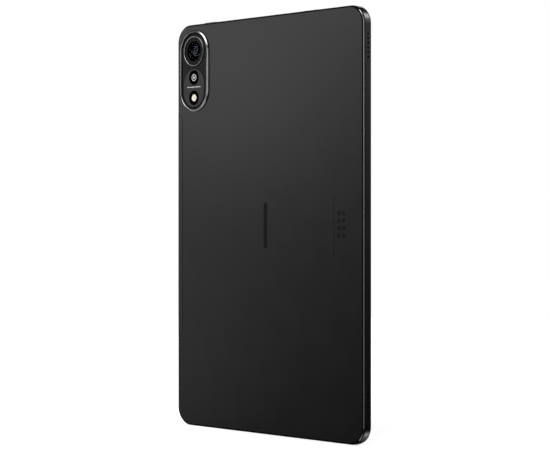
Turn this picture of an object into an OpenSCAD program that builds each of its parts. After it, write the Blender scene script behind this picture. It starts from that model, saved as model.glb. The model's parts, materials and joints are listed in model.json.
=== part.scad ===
// Tablet computer standing upright on a short edge.
// X runs across the width, Z up the long edge, and the back faces +Y.
// The origin is the middle of the bottom short edge, at half the thickness.

/* [Body] */
// Width across the short edge
body_w = 178; // [177:1:182]
// Height along the long edge
body_h = 276; // [275:1:280]
// Thickness of the slab, without the camera island
body_t = 7.5; // [7.5:0.1:8]
// Corner radius seen from the back
corner_r = 12; // [11:0.5:13]
// Polished chamfer round the back of the frame
chamfer = 0.45; // [0.3:0.05:0.55]
// Depth of the frame's polished lip below the back
lip_drop = 0.65; // [0.5:0.05:0.9]
// Wall thickness of the frame
wall = 1.8; // [1.7:0.05:1.8]

/* [Display] */
// Width of the lit area
active_w = 162.9; // [160:0.1:163]
// Height of the lit area
active_h = 260.6; // [257:0.1:261]
// Thickness of the cover glass
glass_t = 0.65; // [0.5:0.05:0.65]

/* [Camera island] */
// Width of the island, a pill on its long axis
island_w = 29; // [28:0.5:29]
// Length of the island
island_h = 55.6; // [55:0.1:56]
// Height of its ridge above the back
island_rise = 1.2; // [1:0.1:1.5]
// Gap from the island to the side of the body
island_margin = 3.8; // [3.8:0.1:5]
// Gap from the island to the top of the body
island_top_gap = 4.4; // [4:0.1:5]
// Outer diameter of the main lens ring
lens_ring_d = 21.5; // [20:0.5:22]
// Diameter of the sensor window and of the flash window
small_window_d = 9.9; // [9:0.1:10]

/* [Side features] */
// Diameter of one speaker hole
speaker_hole_d = 1.35; // [0.8:0.05:1.4]
// Distance from one speaker hole to the next
speaker_pitch = 2.89; // [2.4:0.01:3]
// Speaker holes in one row
speaker_holes = 6; // [4:1:6]
// Length of the volume rocker
rocker_l = 23.4; // [20:0.1:24]
// Length of the power button
power_l = 12; // [10:0.5:13]
// Width of both buttons, across the edge
button_w = 2.2; // [1.8:0.1:2.4]
// How far the buttons stand out
button_proud = 0.4; // [0.2:0.1:0.5]

/* [Hidden] */
$fn = 64;

half_w = body_w / 2;
mid_z = body_h / 2;
front_y = -body_t / 2;
back_y = body_t / 2;

// Distances in from the side face
lip_s = 0.6;
glass_s = 0.7;
cover_s = 0.8;
glass_ledge_s = 2.4;
cover_ledge_s = 2.8;
plate_s = wall + 0.2;

// Layers from the front to the back
glass_y = front_y + glass_t;
glass_ledge_y = glass_y + 0.1;
print_t = 0.05;
lcd_y = glass_y + print_t + 1;
light_y = lcd_y + 0.9;
plate_y0 = light_y + 0.05;
plate_y1 = plate_y0 + 0.4;
board_y0 = plate_y1 + 0.3;
board_y1 = board_y0 + 0.8;
cover_y = back_y - 0.95;
adhesive_y = cover_y - 0.08;
wall_in = half_w - wall;
top_in = body_h - wall;

lcd_w = active_w + 2.6;
lcd_h = active_h + 3.4;

// Lugs for the middle plate
lug_size = [3.2, 5];
lug_bore_r = 0.7;
side_lugs_z = [62, 112, 164, 214];
end_lugs_x = 46;

// Batteries
cell_size = [74, 140];
cell_z0 = 54;
cell_gap = 9;
tape_t = 0.1;

// Main board
board_lo = [-57, 206];
board_hi = [62, 268];
board_screw_at = [[-52, 211], [-52, 262], [-20, 209], [22, 264], [57, 211], [57, 250]];
screw_r = 0.6;

// Camera island
island_r = island_w / 2;
island_x = half_w - island_margin - island_r;
island_z = body_h - island_top_gap - island_h / 2;
island_run = island_h - island_w;
window_r = 12;
window_y0 = back_y + 0.1;
window_y1 = back_y + 0.65;
bracket_y0 = cover_y - 0.2;
bracket_y1 = cover_y + 0.2;
lens_z = island_z + 13.5;
plateau_z = island_z - 11.8;
sensor_z = plateau_z + 7.2;
flash_z = plateau_z - 6.7;
plateau_size = [20.9, 26.2];
barrel_r = 3.9;
focus_travel = 0.3;

// Side features
rocker_z = 230;
power_x = 58;
button_gap = 0.3;
flange_t = 0.6;
flange_z = -wall - 0.4;
nub_l = 0.6;
switch_top = flange_z - flange_t - nub_l - button_gap;
switch_h = 0.7;
strip_t = 0.2;
bracket_t = 0.8;
antenna_w = 4.3;
antenna_z0 = 61.5;
antenna_h = 153;
hole_y = front_y + 3.1;
hole_row_z = body_h - 18.5 - 2.5 * speaker_pitch;
speaker_lo = [-half_w + wall + 0.3, 232];
speaker_size = [29.9, 31.3];
port_y = plate_y1 + 1.3;
port_size = [8.94, 3.16];
tray_x = -40;
tray_y = board_y1 + 0.85;
rod_x = tray_x + 9;

// ---- Helpers ----

// A box given by its lowest and highest corners
module block(lo, hi) {
    translate(lo) cube(hi - lo);
}

// Extrudes an outline in X and Z from y0 to y1
module plate(y0, y1) {
    translate([0, y1, 0]) rotate([90, 0, 0]) linear_extrude(y1 - y0) children();
}

// Extrudes an outline in Y and Z from x0 to x1
module plate_x(x0, x1) {
    translate([x0, 0, 0]) rotate([90, 0, 90]) linear_extrude(x1 - x0) children();
}

// Extrudes an outline in X and Y from z0 to z1
module plate_z(z0, z1) {
    translate([0, 0, z0]) linear_extrude(z1 - z0) children();
}

module rod_x(at, r, x0, x1) {
    translate([x0, at[0], at[1]]) rotate([0, 90, 0]) cylinder(r = r, h = x1 - x0);
}

module rod_y(at, r, y0, y1) {
    translate([at[0], y1, at[1]]) rotate([90, 0, 0]) cylinder(r = r, h = y1 - y0);
}

module rod_z(at, r, z0, z1) {
    translate([at[0], at[1], z0]) cylinder(r = r, h = z1 - z0);
}

// Revolves a profile of [radius, y] about an axis along Y
module revolve_y(at, points) {
    translate([at[0], 0, at[1]]) rotate([-90, 0, 0]) rotate_extrude() polygon(points);
}

module rounded(w, h, r) {
    square([w - 2 * r, h], center = true);
    square([w, h - 2 * r], center = true);
    for (x = [-1, 1], y = [-1, 1])
        translate([x * (w / 2 - r), y * (h / 2 - r)]) circle(r);
}

// A pill that is w across and h long, on its second axis
module pill(w, h) {
    square([w, h - w], center = true);
    for (side = [-1, 1])
        translate([0, side * (h - w) / 2]) circle(w / 2);
}

// The body's outline, s in from its side face
module outline(s) {
    translate([0, mid_z]) rounded(body_w - 2 * s, body_h - 2 * s, corner_r - s);
}

// Sweeps a profile of [distance in from the side face, y] round the body
module edge_sweep(points) {
    run_x = half_w - corner_r;
    run_z = mid_z - corner_r;
    translate([0, 0, mid_z]) {
        for (x = [-1, 1], z = [-1, 1])
            translate([x * run_x, 0, z * run_z])
                mirror([x < 0 ? 1 : 0, 0, 0]) mirror([0, 0, z > 0 ? 1 : 0])
                    rotate([-90, 0, 0]) rotate_extrude(angle = 90)
                        polygon([for (p = points) [corner_r - p[0], p[1]]]);
        for (side = [-1, 1]) {
            translate([0, 0, -run_z]) linear_extrude(2 * run_z)
                polygon([for (p = points) [side * (half_w - p[0]), p[1]]]);
            translate([-run_x, 0, 0]) rotate([0, 90, 0]) linear_extrude(2 * run_x)
                polygon([for (p = points) [side * (mid_z - p[0]), p[1]]]);
        }
    }
}

// Sweeps a profile of [distance from the spine, y] round a pill
module pill_sweep(at, run, points) {
    translate([at[0], 0, at[1]])
        for (side = [-1, 1]) {
            translate([0, 0, side * run / 2]) mirror([0, 0, side > 0 ? 1 : 0])
                rotate([-90, 0, 0]) rotate_extrude(angle = 180) polygon(points);
            translate([0, 0, -run / 2]) linear_extrude(run)
                polygon([for (p = points) [side * p[0], p[1]]]);
        }
}

// A flat cable in the Y-Z plane, through points joined by straight runs
module flat_cable(points, x0, x1, t) {
    for (i = [0:len(points) - 2]) {
        a = points[i];
        b = points[i + 1];
        block(
            [x0, min(a[0], b[0]) - t / 2, min(a[1], b[1]) - t / 2],
            [x1, max(a[0], b[0]) + t / 2, max(a[1], b[1]) + t / 2]
        );
    }
}

// ---- Housing ----

frame_profile = [
    [0.3, front_y + 0.15], [0, front_y + 0.45], [0, back_y - lip_drop - chamfer],
    [chamfer, back_y - lip_drop], [lip_s, back_y - lip_drop], [lip_s, adhesive_y],
    [cover_ledge_s, adhesive_y], [cover_ledge_s, adhesive_y - 0.67],
    [wall, adhesive_y - 0.67], [wall, glass_ledge_y + 0.8],
    [glass_ledge_s, glass_ledge_y + 0.8], [glass_ledge_s, glass_ledge_y],
    [lip_s, glass_ledge_y], [lip_s, front_y + 0.15]
];

module lugs(y0, y1) {
    reach = wall + lug_size[0];
    for (side = [-1, 1], z = side_lugs_z)
        block(
            [side > 0 ? half_w - reach : -wall_in - 0.2, y0, z - lug_size[1] / 2],
            [side > 0 ? wall_in + 0.2 : -half_w + reach, y1, z + lug_size[1] / 2]
        );
    for (x = [-end_lugs_x, end_lugs_x], z = [wall - 0.2, body_h - reach])
        block(
            [x - lug_size[1] / 2, y0, z],
            [x + lug_size[1] / 2, y1, z + lug_size[0] + 0.2]
        );
}

// Where the middle plate's screws stand, as [x, z]
lug_inset = wall + lug_size[0] / 2;
plate_screw_at = concat(
    [for (side = [-1, 1], z = side_lugs_z) [side * (half_w - lug_inset), z]],
    [for (x = [-end_lugs_x, end_lugs_x], z = [lug_inset, body_h - lug_inset]) [x, z]]
);

// The two rows of speaker holes, as heights
speaker_hole_z = [
    for (row = [-1, 1], i = [0:speaker_holes - 1])
        mid_z + row * (hole_row_z + 2.5 * speaker_pitch - mid_z - i * speaker_pitch)
];

module side_frame() {
    color("#3c3d40")
    difference() {
        union() {
            edge_sweep(frame_profile);
            lugs(glass_ledge_y + 0.8, plate_y0);
        }
        for (at = plate_screw_at) rod_y(at, lug_bore_r, glass_ledge_y + 0.5, plate_y0 + 1);
        for (z = speaker_hole_z)
            rod_x([hole_y, z], speaker_hole_d / 2, -half_w - 1, -wall_in + 1);
        plate_x(wall_in - 1, half_w + 1)
            translate([0, rocker_z]) pill(button_w + 2 * button_gap, rocker_l + 2 * button_gap);
        plate_z(top_in - 1, body_h + 1) translate([power_x, 0]) rotate(90)
            pill(button_w + 2 * button_gap, power_l + 2 * button_gap);
        plate_z(top_in - 1, body_h + 1) translate([tray_x, tray_y]) rotate(90) pill(1.9, 14.3);
        rod_z([rod_x, tray_y], 0.45, top_in - 1, body_h + 1);
        plate_z(-1, wall + 1) translate([0, port_y]) rotate(90)
            pill(port_size[1] + 0.2, port_size[0] + 0.2);
        for (at = microphone_at) rod_z([at[0], at[1]], 0.4, at[2] - wall, at[2] + wall);
    }
}

// A strip against the body's edge, with a quarter circle at each end
module antenna_outline() {
    x1 = half_w - cover_s;
    translate([x1 - antenna_w, antenna_z0 + antenna_w]) square([antenna_w, antenna_h - 2 * antenna_w]);
    intersection() {
        translate([x1 - antenna_w, antenna_z0]) square([antenna_w, antenna_h]);
        for (z = [antenna_z0 + antenna_w, antenna_z0 + antenna_h - antenna_w])
            translate([x1, z]) circle(antenna_w);
    }
}

module rear_cover() {
    color("#404145")
    difference() {
        plate(cover_y, back_y) outline(cover_s);
        plate(cover_y - 1, back_y + 1)
            translate([island_x, island_z]) pill(island_w + 0.1, island_h + 0.1);
        plate(cover_y - 1, back_y + 1) antenna_outline();
    }
}

module rear_adhesive() {
    color("#202020")
    edge_sweep([
        [cover_s + 0.1, adhesive_y], [cover_ledge_s - 0.1, adhesive_y],
        [cover_ledge_s - 0.1, cover_y], [cover_s + 0.1, cover_y]
    ]);
}

module antenna_window() {
    color("#343538") plate(cover_y, back_y) antenna_outline();
}

module heat_spreader() {
    color("#2a2a2c") block([-56, cover_y - 0.1, 60], [48, cover_y, 232]);
}

// ---- Display ----

module cover_glass() {
    bevel = 0.3;
    color("#0b0b0d") {
        edge_sweep([
            [glass_s, glass_y], [glass_s, front_y + bevel], [glass_s + bevel, front_y],
            [glass_s + 2, front_y], [glass_s + 2, glass_y]
        ]);
        plate(front_y, glass_y) outline(glass_s + 1.9);
    }
}

module display_gasket() {
    color("#151515")
    edge_sweep([
        [0.8, glass_y], [2.2, glass_y], [2.2, glass_ledge_y], [0.8, glass_ledge_y]
    ]);
}

front_camera_at = [half_w - 4.3, mid_z];
light_sensor_at = [half_w - 4.3, mid_z + 12];

module bezel_print() {
    color("#050505")
    difference() {
        plate(glass_y, glass_y + print_t) outline(2.3);
        plate(glass_y - 1, glass_y + 1) translate([0, mid_z]) square([active_w, active_h], center = true);
        rod_y(front_camera_at, 1.3, glass_y - 1, glass_y + 1);
        rod_y(light_sensor_at, 0.6, glass_y - 1, glass_y + 1);
    }
}

module lcd_panel() {
    color("#101418")
    plate(glass_y + print_t, lcd_y) translate([0, mid_z]) rounded(lcd_w, lcd_h, 2);
}

module backlight_unit() {
    color("#d8d8d4")
    plate(lcd_y, light_y) translate([0, mid_z]) rounded(lcd_w, lcd_h, 2);
}

module display_driver_board() {
    color("#1f4a36") block([-40, plate_y1 + 0.12, 44], [56, plate_y1 + 0.8, 51]);
}

module display_flex() {
    t = 0.12;
    foot_z = mid_z - lcd_h / 2;
    y = plate_y1 + t / 2;
    color("#8a5a22")
    flat_cable(
        [[lcd_y - 0.5, foot_z - t / 2], [lcd_y - 0.5, foot_z - 1.2], [y, foot_z - 1.2], [y, 50]],
        22, 42, t
    );
}

// ---- Middle plate ----

module mid_plate() {
    color("#8d9094")
    difference() {
        union() {
            plate(plate_y0, plate_y1) outline(plate_s);
            for (at = board_screw_at) rod_y(at, 2.4, plate_y0, board_y0);
            for (at = usb_screw_at) rod_y(at, 2.4, plate_y0, usb_board_y0);
        }
        for (at = plate_screw_at) rod_y(at, 0.85, plate_y0 - 1, plate_y1 + 1);
        for (at = concat(board_screw_at, usb_screw_at)) rod_y(at, screw_r, plate_y0 - 1, back_y);
        // speakers, front camera, rocker, power button, port and display cable
        for (z = [speaker_lo[1], body_h - speaker_lo[1] - speaker_size[1]])
            notch([-half_w, z - 0.5], [speaker_lo[0] + speaker_size[0] + 0.5, z + speaker_size[1] + 0.5]);
        notch([half_w - 6.7, mid_z - 4.5], [half_w, mid_z + 4.5]);
        notch([half_w - 6, rocker_z - 14.5], [half_w, rocker_z + 14.5]);
        notch([power_x - 8.5, body_h - 6], [power_x + 8.5, body_h]);
        notch([-5.2, 0], [5.2, 8.6]);
        notch([21, 0], [43, 6]);
    }
}

// Cuts the middle plate between two corners given as [x, z]
module notch(lo, hi) {
    block([lo[0], plate_y0 - 1, lo[1]], [hi[0], plate_y1 + 1, hi[1]]);
}

module screw(at, seat_y, head_r, head_t, shank_r, shank_l) {
    rod_y(at, head_r, seat_y, seat_y + head_t);
    rod_y(at, shank_r, seat_y - shank_l, seat_y + 0.01);
}

module mid_plate_screws() {
    color("#b8b8b8")
    for (at = plate_screw_at)
        difference() {
            screw(at, plate_y1, 1.3, 0.5, lug_bore_r - 0.02, 1.2);
            rod_y(at, 0.6, plate_y1 + 0.25, plate_y1 + 1, $fn = 6);
        }
}

// ---- Battery ----

module battery_cell(side) {
    centre = [side * (cell_gap + cell_size[0]) / 2, cell_z0 + cell_size[1] / 2];
    plate(plate_y1 + tape_t, plate_y1 + tape_t + 3.15)
        translate(centre) rounded(cell_size[0], cell_size[1], 2.5);
}

module battery_cell_left() {
    color("#2d2f33") battery_cell(1);
}

module battery_cell_right() {
    color("#2d2f33") battery_cell(-1);
}

module battery_tape() {
    color("#e6e6e6")
    for (side = [-1, 1], z = [cell_z0 + 8, cell_z0 + cell_size[1] / 2 + 4])
        translate([side * (cell_gap + cell_size[0]) / 2, 0, 0])
            block([-30, plate_y1, z], [30, plate_y1 + tape_t, z + cell_size[1] / 2 - 12]);
}

pack_board_z = cell_z0 + cell_size[1] + 3;
pack_board_y0 = plate_y1 + 0.2;
pack_board_y1 = pack_board_y0 + 0.6;

module battery_board() {
    color("#1f4a36")
    block([-34, pack_board_y0, pack_board_z], [34, pack_board_y1, pack_board_z + 6.5]);
}

module battery_wiring() {
    t = 0.15;
    y = plate_y1 + 1.2;
    board_top = pack_board_y1 + t / 2;
    color("#c9c4b8") {
        for (x = [-30, -16, 16, 30])
            flat_cable(
                [[y, cell_z0 + cell_size[1] + t / 2], [y, pack_board_z + 1.5],
                 [board_top, pack_board_z + 1.5], [board_top, pack_board_z + 4]],
                x - 3, x + 3, t
            );
        flat_cable(
            [[board_top, pack_board_z + 3], [board_top, pack_board_z + 8],
             [board_y1 + t / 2, pack_board_z + 8], [board_y1 + t / 2, 212]],
            4, 16, t
        );
    }
}

// ---- Main board ----

module mainboard() {
    color("#17573a")
    difference() {
        plate(board_y0, board_y1) difference() {
            translate(board_lo) square(board_hi - board_lo);
            translate([-60, 240]) square([8, 14]);
            translate([44, 256]) square([20, 14]);
        }
        for (at = board_screw_at) rod_y(at, 0.8, board_y0 - 1, board_y1 + 1);
    }
}

usb_board_y0 = plate_y1 + 0.9;
usb_board_y1 = usb_board_y0 + 0.6;
usb_screw_at = [[-17, 12], [17, 12]];

module board_screws() {
    color("#c4c4c4") {
        for (at = board_screw_at)
            difference() {
                screw(at, board_y1, 1.5, 0.5, screw_r - 0.02, 1.4);
                rod_y(at, 0.6, board_y1 + 0.25, back_y, $fn = 6);
            }
        for (at = usb_screw_at)
            difference() {
                screw(at, usb_board_y1, 1.5, 0.5, screw_r - 0.02, 1.8);
                rod_y(at, 0.6, usb_board_y1 + 0.25, back_y, $fn = 6);
            }
    }
}

module processor() {
    color("#1c1c1e") block([-22, board_y1, 230], [-6, board_y1 + 0.9, 246]);
}

// Each chip as [x, z, width, height, thickness]
chips = [
    [0, 231, 12, 14, 0.8], [-22, 249, 14, 6, 0.7], [30, 222, 8, 8, 0.8],
    [42, 224, 6, 6, 0.7], [30, 234, 10, 8, 0.8], [-46, 222, 7, 9, 0.8]
];

module board_chips() {
    color("#222225")
    for (c = chips) block([c[0], board_y1, c[1]], [c[0] + c[2], board_y1 + c[4], c[1] + c[3]]);
}

// Each can as [x, z, width, height]
cans = [[-26, 226, 42, 32], [27, 219, 24, 26], [-50, 218, 15, 18]];

module shield_cans() {
    can_t = 0.15;
    can_h = 1.4;
    color("#c8c9cb")
    for (c = cans)
        difference() {
            block([c[0], board_y1, c[1]], [c[0] + c[2], board_y1 + can_h, c[1] + c[3]]);
            block(
                [c[0] + can_t, board_y1 - 1, c[1] + can_t],
                [c[0] + c[2] - can_t, board_y1 + can_h - can_t, c[1] + c[3] - can_t]
            );
        }
}

module board_connectors() {
    color("#e0dccf") {
        block([3.5, board_y1 + 0.15, 209.5], [16.5, board_y1 + 0.75, 212]);
        block([-2, board_y1 + 0.12, 213.5], [2, board_y1 + 0.7, 217]);
        block([54, board_y1, 226], [60, board_y1 + 0.7, 229]);
        block([54, board_y1, 236], [60, board_y1 + 0.7, 239]);
        for (x = [-47, 26]) block([x, board_y1, 209], [x + 10, board_y1 + 0.8, 211.5]);
    }
}

// ---- Card tray ----

module sim_socket() {
    y0 = board_y1;
    color("#bfc1c4")
    difference() {
        union() {
            block([tray_x - 7.5, y0, 249], [tray_x + 7.5, y0 + 1.75, 272.5]);
            for (z = [267, 271]) block([tray_x + 7, y0, z], [rod_x + 1, tray_y + 1, z + 0.8]);
        }
        block([tray_x - 6.5, tray_y - 0.6, 251], [tray_x + 6.5, tray_y + 0.6, 280]);
        rod_z([rod_x, tray_y], 0.75, 260, 280);
    }
}

module sim_tray() {
    color("#3c3d40")
    difference() {
        union() {
            block([tray_x - 6.15, tray_y - 0.4, 252.3], [tray_x + 6.15, tray_y + 0.4, body_h - 0.9]);
            plate_z(body_h - 1, body_h) translate([tray_x, tray_y]) rotate(90) pill(1.6, 14);
        }
        // pocket for the card, with a floor, and the notch that the ejector meets
        block([tray_x - 4.4, tray_y - 0.1, 256], [tray_x + 4.4, tray_y + 1, 268.3]);
        block([tray_x - 3, tray_y - 1, 258], [tray_x + 3, tray_y + 1, 266]);
        block([tray_x + 4.9, tray_y - 1, 270], [tray_x + 7, tray_y + 1, 272]);
    }
}

module tray_seal() {
    color("#c2473c")
    plate_z(body_h - 1.6, body_h - 1.2) translate([tray_x, tray_y]) difference() {
        square([13, 1.5], center = true);
        square([12.3, 0.8], center = true);
    }
}

module eject_rod() {
    color("#a9abad") {
        rod_z([rod_x, tray_y], 0.45, 265, top_in - 0.3);
        rod_z([rod_x, tray_y], 0.7, 272.4, 273);
    }
}

// ---- Rear camera island ----

module camera_rim() {
    ridge_y = back_y + island_rise;
    color("#47484c")
    pill_sweep([island_x, island_z], island_run, [
        [10.6, cover_y - 0.75], [island_r + 0.8, cover_y - 0.75], [island_r + 0.8, cover_y],
        [island_r, cover_y], [island_r, ridge_y - 0.55], [island_r - 0.7, ridge_y],
        [island_r - 1, ridge_y], [window_r + 0.1, ridge_y - 0.4], [window_r + 0.1, window_y0],
        [10.6, window_y0]
    ]);
}

module camera_window() {
    color("#0a0b0d")
    difference() {
        plate(window_y0, window_y1) translate([island_x, island_z])
            pill(2 * window_r, island_run + 2 * window_r);
        rod_y([island_x, lens_z], 7.7, 0, 10);
        rod_y([island_x, sensor_z], 2, 0, 10);
        rod_y([island_x, flash_z], 2.6, 0, 10);
    }
}

module camera_plateau() {
    color("#5d5e62")
    difference() {
        plate(window_y1, window_y1 + 0.25) translate([island_x, plateau_z])
            pill(plateau_size[0], plateau_size[1]);
        for (z = [sensor_z, flash_z]) rod_y([island_x, z], small_window_d / 2 + 0.05, 0, 10);
    }
}

module camera_bracket() {
    color("#6d6f73")
    difference() {
        plate(bracket_y0, bracket_y1) translate([island_x, island_z])
            pill(21, island_run + 21);
        rod_y([island_x, lens_z], 6.2, 0, 10);
    }
}

module lens_ring() {
    top_y = window_y1 + 0.7;
    r = lens_ring_d / 2;
    color("#77797e")
    revolve_y([island_x, lens_z], [
        [7, bracket_y1], [7.6, bracket_y1], [7.6, window_y1], [r, window_y1],
        [r, window_y1 + 0.3], [r - 0.55, top_y], [r - 1.15, top_y], [8.2, window_y1 + 0.35],
        [8.2, window_y1 + 0.2], [7, window_y1 + 0.2]
    ]);
}

module lens_cover() {
    color("#1b1d28")
    rod_y([island_x, lens_z], 6.95, window_y1 - 0.2, window_y1 + 0.2);
}

module lens_baffle() {
    color("#111113")
    revolve_y([island_x, lens_z], [
        [3.6, bracket_y1 + 0.3], [6.9, bracket_y1 + 0.3], [6.9, window_y1 - 0.2], [6, window_y1 - 0.2]
    ]);
}

module camera_module() {
    size = 5.5;
    color("#2b2c30")
    difference() {
        block(
            [island_x - size, plate_y1 + 0.1, lens_z - size],
            [island_x + size, bracket_y0 - 0.05, lens_z + size]
        );
        rod_y([island_x, lens_z], barrel_r + 0.3, plate_y1 + 0.7, back_y);
        block(
            [island_x - 3.8, plate_y1 + 0.4, lens_z - 3.1],
            [island_x + 3.8, plate_y1 + 0.8, lens_z + 3.1]
        );
    }
}

module image_sensor() {
    color("#31505e")
    block(
        [island_x - 3.7, plate_y1 + 0.4, lens_z - 3],
        [island_x + 3.7, plate_y1 + 0.65, lens_z + 3]
    );
}

barrel_y0 = plate_y1 + 0.95;
barrel_y1 = bracket_y1 + 0.3 - focus_travel - 0.25;

module lens_barrel() {
    at = [island_x, lens_z];
    color("#18181a")
    difference() {
        rod_y(at, barrel_r, barrel_y0, barrel_y1);
        rod_y(at, 2.5, 0, 10);
        rod_y(at, 2.5, -2, 1);
        rod_y(at, 2.9, barrel_y1 - 0.55, 10);
        rod_y(at, 3.1, -2, barrel_y0 + 0.5);
    }
}

module lens_elements() {
    at = [island_x, lens_z];
    color("#8fa4c8") {
        rod_y(at, 2.88, barrel_y1 - 0.5, barrel_y1 - 0.05);
        rod_y(at, 2.48, (barrel_y0 + barrel_y1) / 2 - 0.1, (barrel_y0 + barrel_y1) / 2 + 0.15);
        rod_y(at, 3.08, barrel_y0 + 0.1, barrel_y0 + 0.45);
    }
}

module sensor_window() {
    color("#0c0c0e")
    rod_y([island_x, sensor_z], small_window_d / 2, window_y1, window_y1 + 0.22);
}

module flash_window() {
    color("#141416")
    difference() {
        rod_y([island_x, flash_z], small_window_d / 2, window_y1, window_y1 + 0.22);
        rod_y([island_x, flash_z], 2.5, 0, 10);
    }
}

flash_board_t = 0.15;

module flash_board() {
    color("#20603f")
    block(
        [island_x - 5.4, bracket_y1, flash_z - 3.2],
        [island_x + 5.4, bracket_y1 + flash_board_t, sensor_z + 0.5]
    );
}

module flash_led() {
    color("#f3e6c0")
    rod_y([island_x, flash_z], 2.45, bracket_y1 + flash_board_t, window_y1 + 0.2);
}

// ---- Front sensors ----

module front_camera() {
    at = front_camera_at;
    color("#1a1a1e")
    difference() {
        block([at[0] - 1.7, glass_y + 0.06, at[1] - 3.2], [at[0] + 1.7, plate_y1 + 1, at[1] + 3.2]);
        rod_y(at, 0.9, glass_y - 1, glass_y + 0.9);
    }
}

module light_sensor() {
    at = light_sensor_at;
    color("#2e3a44")
    block([at[0] - 1.3, glass_y + 0.06, at[1] - 1.8], [at[0] + 1.3, plate_y0, at[1] + 1.8]);
}

// ---- Sound ----

driver_size = [17.6, 13.6];

module speaker_box() {
    lo = speaker_lo;
    hi = lo + speaker_size;
    row_z = hole_row_z;
    color("#1d1d1f")
    difference() {
        block([lo[0], plate_y0 + 0.05, lo[1]], [hi[0], adhesive_y - 0.72, hi[1]]);
        block(
            [lo[0] + 7, plate_y0 + 0.45, row_z - driver_size[1] / 2 - 0.2],
            [lo[0] + 7.4 + driver_size[0], back_y, row_z + driver_size[1] / 2 + 0.2]
        );
        block([lo[0] - 1, plate_y0 + 0.2, row_z - 8], [lo[0] + 8, plate_y0 + 1.2, row_z + 8]);
    }
}

// Mirrors its children about the body's middle height
module at_bottom() {
    translate([0, 0, body_h]) mirror([0, 0, 1]) children();
}

module speaker_box_top() {
    speaker_box();
}

module speaker_box_bottom() {
    at_bottom() speaker_box();
}

module speaker_driver() {
    lo = [speaker_lo[0] + 7.2, hole_row_z - driver_size[1] / 2];
    block(
        [lo[0], plate_y0 + 0.45, lo[1]],
        [lo[0] + driver_size[0], adhesive_y - 0.85, lo[1] + driver_size[1]]
    );
}

module speaker_drivers() {
    color("#6e6e72") {
        speaker_driver();
        at_bottom() speaker_driver();
    }
}

module speaker_meshes() {
    x = speaker_lo[0] - 0.28;
    color("#101012")
    for (z = [hole_row_z, body_h - hole_row_z])
        block([x, plate_y0 + 0.1, z - 8.3], [x + 0.2, plate_y0 + 1.3, z + 8.3]);
}

// Each microphone's pinhole as [x, y, height of the outer face]
microphone_at = [[10, plate_y1 + 1.2, body_h], [18, plate_y1 + 1.2, 0]];

module microphones() {
    color("#b9a86a")
    for (at = microphone_at)
        let (z = at[2] > 0 ? at[2] - wall - 2.6 : wall + 0.1)
            block([at[0] - 1.9, at[1] - 0.6, z], [at[0] + 1.9, at[1] + 0.6, z + 2.5]);
}

// ---- Bottom port ----

module usb_board() {
    color("#17573a")
    difference() {
        block([-20, usb_board_y0, 5.5], [20, usb_board_y1, 26]);
        block([-4.7, usb_board_y0 - 1, 0], [4.7, usb_board_y1 + 1, 8.2]);
        for (at = usb_screw_at) rod_y(at, 0.8, usb_board_y0 - 1, back_y);
    }
}

module usb_socket() {
    shell_t = 0.3;
    color("#aeb0b3") {
        difference() {
            plate_z(0.4, 7.9) translate([0, port_y]) rotate(90) pill(port_size[1], port_size[0]);
            plate_z(0, 9) translate([0, port_y]) rotate(90)
                pill(port_size[1] - 2 * shell_t, port_size[0] - 2 * shell_t);
        }
        for (side = [-1, 1])
            translate([side * 5.3, 0, 0])
                block([-1, usb_board_y1, 5.8], [1, usb_board_y1 + 0.2, 7.8]);
    }
}

module usb_tongue() {
    color("#202022") {
        plate_z(6.9, 7.9) translate([0, port_y]) rotate(90)
            pill(port_size[1] - 0.65, port_size[0] - 0.65);
        block([-3.35, port_y - 0.35, 1.2], [3.35, port_y + 0.35, 7]);
    }
}

// ---- Inner cables ----

module main_flex() {
    t = 0.12;
    y = plate_y1 + t / 2;
    up = usb_board_y1 + t / 2;
    color("#8a5a22")
    flat_cable(
        [[up, 22], [up, 26.6], [y, 26.6], [y, board_lo[1] - 0.5],
         [board_y1 + t / 2, board_lo[1] - 0.5], [board_y1 + t / 2, 216.5]],
        -1.5, 1.5, t
    );
}

module antenna_film() {
    color("#8a5a22")
    block(
        [half_w - 9.5, cover_y - 0.1, antenna_z0 + 8],
        [half_w - cover_ledge_s - 0.2, cover_y, antenna_z0 + antenna_h - 8]
    );
}

// ---- Buttons ----

// Each button points along +Z here, with the body's side face at 0 and its length along Y
module button_cap(length) {
    translate([0, 0, flange_z]) linear_extrude(button_proud - flange_z) pill(button_w, length);
    translate([0, 0, flange_z - flange_t]) linear_extrude(flange_t) pill(3.2, length + 2);
}

// Stands a button on the top edge, with its length along X
module on_top_edge() {
    translate([power_x, 0, body_h]) rotate(90) children();
}

// Stands a button on the camera side's edge, with its length along Z
module on_side_edge() {
    translate([half_w, 0, rocker_z]) rotate([90, 0, 90]) children();
}

module nubs(offsets) {
    for (o = offsets)
        translate([0, o, flange_z - flange_t - nub_l]) cylinder(r = 0.8, h = nub_l + 0.1);
}

module power_button() {
    color("#3c3d40") on_top_edge() {
        button_cap(power_l);
        nubs([0]);
    }
}

rocker_nub = 8.5;

module volume_rocker() {
    color("#3c3d40") on_side_edge() {
        button_cap(rocker_l);
        nubs([-rocker_nub, rocker_nub]);
    }
}

module switch_set(length, offsets) {
    for (o = offsets)
        translate([-1.3, o - 1.7, switch_top - switch_h]) cube([2.6, 3.4, switch_h]);
    translate([-1.4, -length / 2, switch_top - switch_h - strip_t]) cube([2.8, length, strip_t]);
}

module button_switches() {
    color("#c8a13c") {
        on_top_edge() switch_set(10, [0]);
        on_side_edge() switch_set(24, [-rocker_nub, rocker_nub]);
    }
}

module bracket(length) {
    z = switch_top - switch_h - strip_t - bracket_t;
    translate([-1.5, -length / 2, z]) cube([3, length, bracket_t]);
}

module button_brackets() {
    color("#9c9ea2") {
        on_top_edge() bracket(14);
        on_side_edge() bracket(27);
    }
}

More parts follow.
